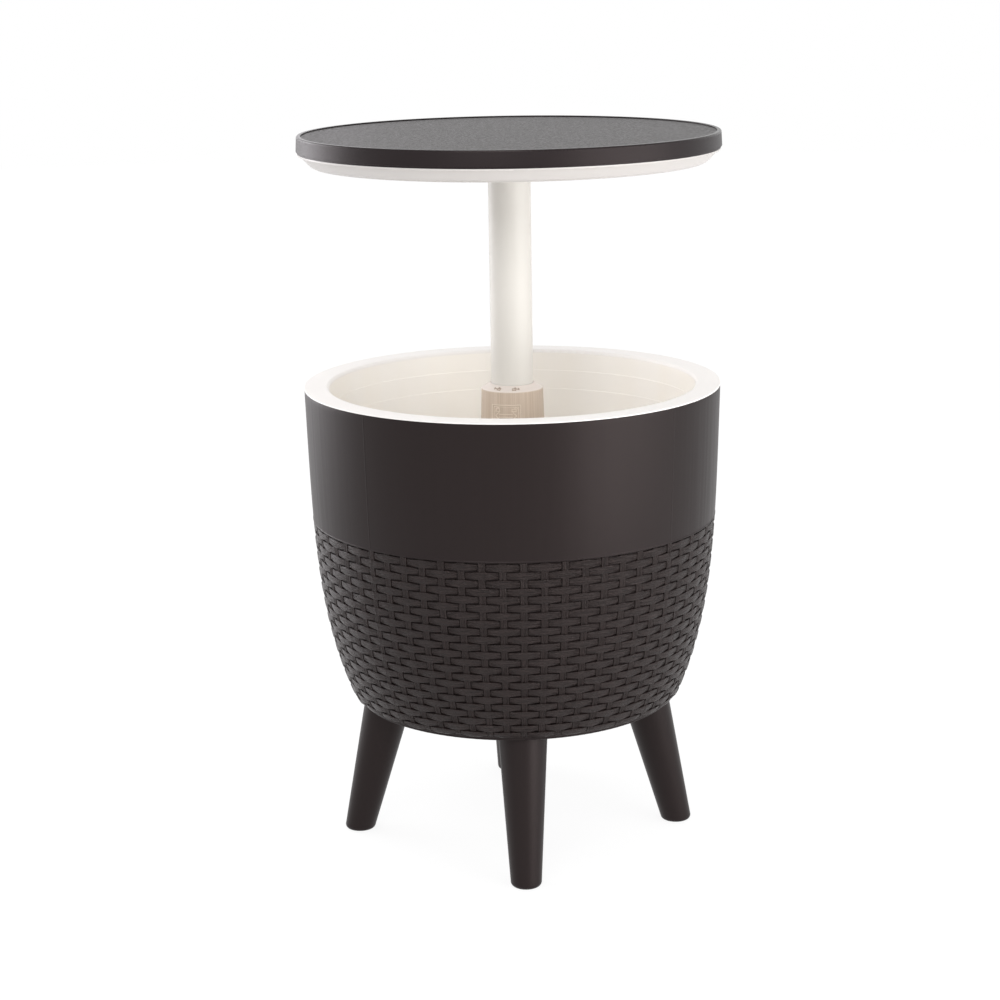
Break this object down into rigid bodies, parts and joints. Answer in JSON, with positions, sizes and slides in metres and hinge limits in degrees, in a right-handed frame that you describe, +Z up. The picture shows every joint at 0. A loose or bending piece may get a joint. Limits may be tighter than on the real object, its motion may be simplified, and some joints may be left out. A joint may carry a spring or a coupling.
{
  "type": "ice bucket coffee table",
  "caption": "Round ice bucket table: woven-relief tub on splayed legs, with a lid on a telescopic post that lifts to bar height and twists to lock.",
  "frame": {"origin": "on the floor, under the post's axis, centred between the four feet", "axes": "+Z up along the post's axis, the front leg (the one nearest the camera in the picture) towards -Y, +X to the right"},
  "size_m": [0.486, 0.486, 0.84],
  "materials": {
    "graphite_resin": "moulded woven relief on the shell, smooth satin elsewhere",
    "lid_resin": "fine moulded grain, satin",
    "white_resin": "smooth satin white",
    "post_resin": "smooth glossy warm white",
    "ivory_resin": "smooth ivory, satin",
    "taupe_resin": "upright fine striations, satin",
    "grey_acetal": "smooth, slightly waxy",
    "aluminium_tube": "drawn, clear anodised",
    "zinc_steel": "bright zinc plate",
    "brass_insert": "turned",
    "seal_rubber": "matt black"
  },
  "bodies": {
    "tub": {"inner_liner": "ivory_resin", "outer_shell": "graphite_resin", "base_plate": "graphite_resin", "base_screws": "zinc_steel", "column_sleeve": "taupe_resin", "collar_bush": "grey_acetal", "guide_tube": "aluminium_tube", "column_seal": "seal_rubber", "column_screws": "zinc_steel", "leg_front": "graphite_resin", "leg_right": "graphite_resin", "leg_back": "graphite_resin", "leg_left": "graphite_resin", "leg_bolts": "zinc_steel", "leg_washers": "zinc_steel", "leg_inserts": "brass_insert", "drain_fitting": "white_resin", "drain_seal": "seal_rubber", "drain_nut": "white_resin"},
    "lock_slider": {"lock_ring": "grey_acetal", "ring_carrier": "grey_acetal"},
    "lid": {"table_top_cover": "lid_resin", "lid_under_cover": "white_resin", "lid_screws": "zinc_steel", "post_head_flange": "white_resin", "flange_screws": "zinc_steel", "post_cross_pin": "zinc_steel", "post_tube": "post_resin", "cam_plug": "grey_acetal", "cam_plug_pin": "zinc_steel", "retaining_washer": "zinc_steel", "retaining_screw": "zinc_steel"},
    "drain_stopper": {"drain_plug": "seal_rubber"}
  },
  "joints": [
    {"name": "lid_lift", "type": "slide", "parent": "tub", "child": "lock_slider", "axis": [0, 0, 1], "range_m": [-0.254, 0]},
    {"name": "lid_twist", "type": "hinge", "parent": "lock_slider", "child": "lid", "pos_m": [0, 0, 0.449], "axis": [0, 0, 1], "range_deg": [0, 90]},
    {"name": "drain_plug_pull", "type": "slide", "parent": "tub", "child": "drain_stopper", "axis": [0, 0, -1], "range_m": [0, 0.04]}
  ]
}
